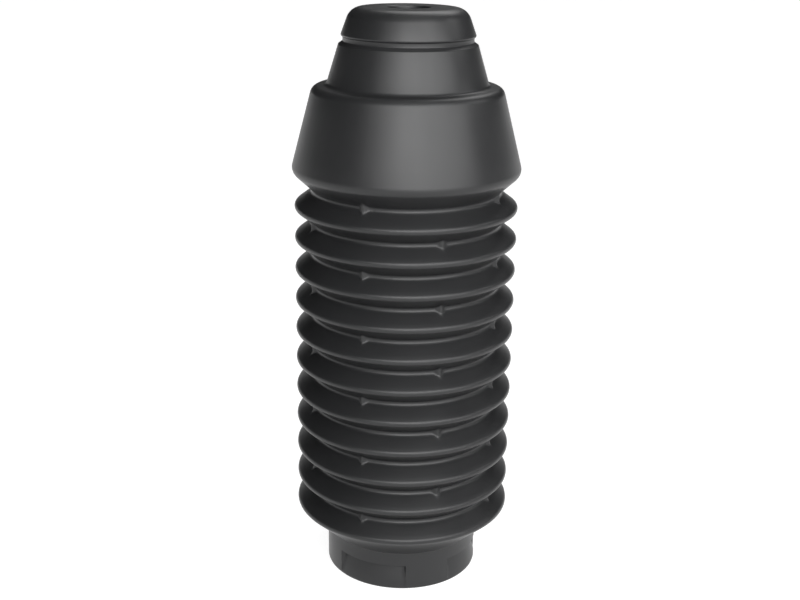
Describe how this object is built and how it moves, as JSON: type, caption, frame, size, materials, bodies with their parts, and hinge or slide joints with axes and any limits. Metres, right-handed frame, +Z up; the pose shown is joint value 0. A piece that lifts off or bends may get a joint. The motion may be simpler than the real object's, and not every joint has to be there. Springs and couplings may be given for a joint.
{
  "type": "shock absorber dust boot",
  "caption": "Rubber bellows boot with a capped tapered top, a flared shroud, close folds and a snap-in collar, for keeping dirt off a damper rod.",
  "frame": {"origin": "on the boot's axis at the level of the collar's bottom rim", "axes": "+Z up along the axis from the collar to the cap; -Y is the front, where one collar claw and one gusset of the top root face"},
  "size_m": [0.0776, 0.0776, 0.2],
  "materials": {
    "rubber": "satin moulded black"
  },
  "bodies": {
    "root": {"dust_boot": "rubber"}
  },
  "joints": []
}
